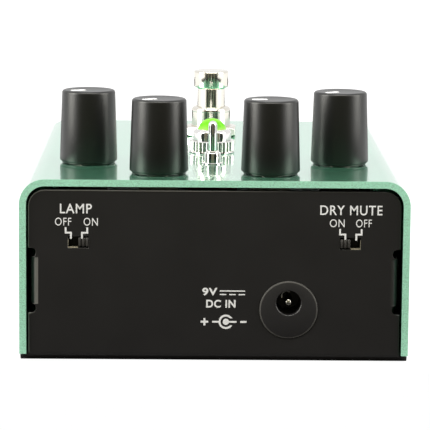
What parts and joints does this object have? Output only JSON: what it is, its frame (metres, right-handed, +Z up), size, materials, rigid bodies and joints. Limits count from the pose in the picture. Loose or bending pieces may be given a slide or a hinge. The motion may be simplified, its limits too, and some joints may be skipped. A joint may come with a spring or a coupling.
{
  "type": "guitar effects pedal",
  "caption": "Compact floor effects pedal: anodised shell over a folded black base, tapered knobs, toggle, jewel lamp, stomp switch, side jacks and a battery door.",
  "frame": {"origin": "bottom centre of the pedal, on the surface its feet stand on", "axes": "+Z up; the rear panel with the power socket faces -Y, the battery door faces +Y to the player; +X is the player's left"},
  "size_m": [0.1056, 0.124, 0.0669],
  "materials": {
    "green_anodised": "satin anodised, brushed",
    "black_powder_coat": "fine satin powder coat",
    "black_steel": "blackened",
    "foot_rubber": "matte",
    "knob_black": "satin moulded, white pointer",
    "bright_chrome": "polished",
    "bright_nickel": "polished nickel",
    "jewel_green": "faceted, lit from inside",
    "lamp_epoxy": "gloss",
    "inner_metal": "plated",
    "black_plastic": "satin moulded",
    "switch_red": "moulded",
    "switch_blue": "moulded",
    "board_green": "solder mask"
  },
  "bodies": {
    "enclosure": {"top_shell": "green_anodised", "base_chassis": "black_powder_coat", "base_screw_1": "black_steel", "base_screw_2": "black_steel", "base_screw_3": "black_steel", "base_screw_4": "black_steel", "rubber_foot_1": "foot_rubber", "rubber_foot_2": "foot_rubber", "rubber_foot_3": "foot_rubber", "rubber_foot_4": "foot_rubber", "pot_body_1": "inner_metal", "pot_body_2": "inner_metal", "pot_body_3": "inner_metal", "pot_body_4": "inner_metal", "pot_nut_1": "inner_metal", "pot_nut_2": "inner_metal", "pot_nut_3": "inner_metal", "pot_nut_4": "inner_metal", "toggle_case": "switch_red", "toggle_bushing": "bright_chrome", "jewel_bezel": "bright_chrome", "jewel_lens": "jewel_green", "jewel_nut": "inner_metal", "indicator_lamp": "lamp_epoxy", "footswitch_barrel": "bright_nickel", "footswitch_nut": "bright_nickel", "footswitch_case": "switch_blue", "footswitch_spring": "inner_metal", "power_socket": "black_plastic", "power_socket_pin": "bright_nickel", "lamp_switch_case": "inner_metal", "mute_switch_case": "inner_metal", "input_jack": "black_plastic", "input_jack_washer": "bright_nickel", "input_jack_nut": "bright_nickel", "output_jack": "black_plastic", "output_jack_washer": "bright_nickel", "output_jack_nut": "bright_nickel", "main_circuit_board": "board_green", "battery_tray": "black_plastic", "door_hinge_pin": "inner_metal", "door_strike_plate": "inner_metal", "battery_contact_block": "black_plastic", "battery_contact_plus": "bright_nickel", "battery_contact_minus": "bright_nickel"},
    "knob_1_turning": {"knob_1": "knob_black", "pot_shaft_1": "inner_metal"},
    "knob_2_turning": {"knob_2": "knob_black", "pot_shaft_2": "inner_metal"},
    "knob_3_turning": {"knob_3": "knob_black", "pot_shaft_3": "inner_metal"},
    "knob_4_turning": {"knob_4": "knob_black", "pot_shaft_4": "inner_metal"},
    "toggle": {"toggle_lever": "bright_chrome"},
    "stomp_button": {"footswitch_plunger": "bright_nickel"},
    "lamp_slider": {"lamp_switch_slider": "black_plastic"},
    "mute_slider": {"mute_switch_slider": "black_plastic"},
    "door": {"battery_door": "black_powder_coat", "door_magnet_1": "inner_metal", "door_magnet_2": "inner_metal"}
  },
  "joints": [
    {"name": "knob_1_turn", "type": "hinge", "parent": "enclosure", "child": "knob_1_turning", "pos_m": [-0.0328, -0.0301, 0.0484], "axis": [0, 0, 1], "range_deg": [-86, 214]},
    {"name": "knob_2_turn", "type": "hinge", "parent": "enclosure", "child": "knob_2_turning", "pos_m": [-0.0142, -0.0491, 0.0484], "axis": [0, 0, 1], "range_deg": [-95, 205]},
    {"name": "knob_3_turn", "type": "hinge", "parent": "enclosure", "child": "knob_3_turning", "pos_m": [0.0142, -0.0491, 0.0484], "axis": [0, 0, 1], "range_deg": [-67, 233]},
    {"name": "knob_4_turn", "type": "hinge", "parent": "enclosure", "child": "knob_4_turning", "pos_m": [0.0328, -0.0301, 0.0484], "axis": [0, 0, 1], "range_deg": [-100, 200]},
    {"name": "toggle_flip", "type": "hinge", "parent": "enclosure", "child": "toggle", "pos_m": [-0.0004, -0.0307, 0.0495], "axis": [0, 1, 0], "range_deg": [-10, 10]},
    {"name": "footswitch_press", "type": "slide", "parent": "enclosure", "child": "stomp_button", "axis": [0, 0, -1], "range_m": [0, 0.003], "stiffness_N_per_m": 800, "springref_m": -0.004, "deforming": ["footswitch_spring"]},
    {"name": "lamp_switch_slide", "type": "slide", "parent": "enclosure", "child": "lamp_slider", "axis": [-1, 0, 0], "range_m": [0, 0.0025]},
    {"name": "mute_switch_slide", "type": "slide", "parent": "enclosure", "child": "mute_slider", "axis": [1, 0, 0], "range_m": [0, 0.0025]},
    {"name": "battery_door_swing", "type": "hinge", "parent": "enclosure", "child": "door", "pos_m": [0, 0.0596, 0.0052], "axis": [-1, 0, 0], "range_deg": [0, 90]}
  ]
}
